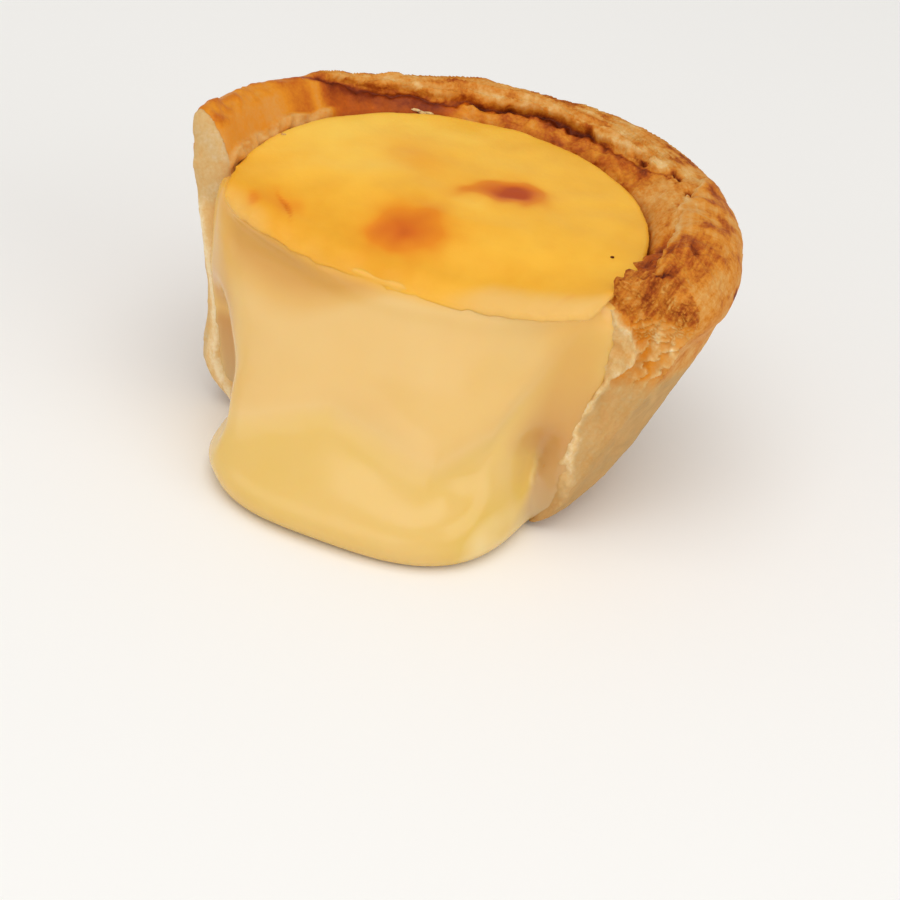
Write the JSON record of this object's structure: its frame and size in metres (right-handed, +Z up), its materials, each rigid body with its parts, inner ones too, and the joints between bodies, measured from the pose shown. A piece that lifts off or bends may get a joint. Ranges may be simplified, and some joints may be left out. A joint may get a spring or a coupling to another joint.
{
  "type": "egg tart",
  "caption": "Cut egg tart: flaky pastry shell, baked custard top with browned spots, and runny custard flowing out of the cut.",
  "frame": {"origin": "middle of the whole tart's round base, on the surface it stands on", "axes": "+Z up; the cut faces -Y, and the runny custard flows out that way"},
  "size_m": [0.0709, 0.0657, 0.0418],
  "materials": {
    "pastry": "dry flaky baked pastry, browned at the rim and pale inside",
    "baked_custard": "smooth set custard with a soft sheen and a few browned spots",
    "runny_custard": "thick wet custard, glossy and slightly translucent"
  },
  "bodies": {
    "root": {"pastry_shell": "pastry", "baked_custard": "baked_custard", "runny_custard": "runny_custard"}
  },
  "joints": []
}
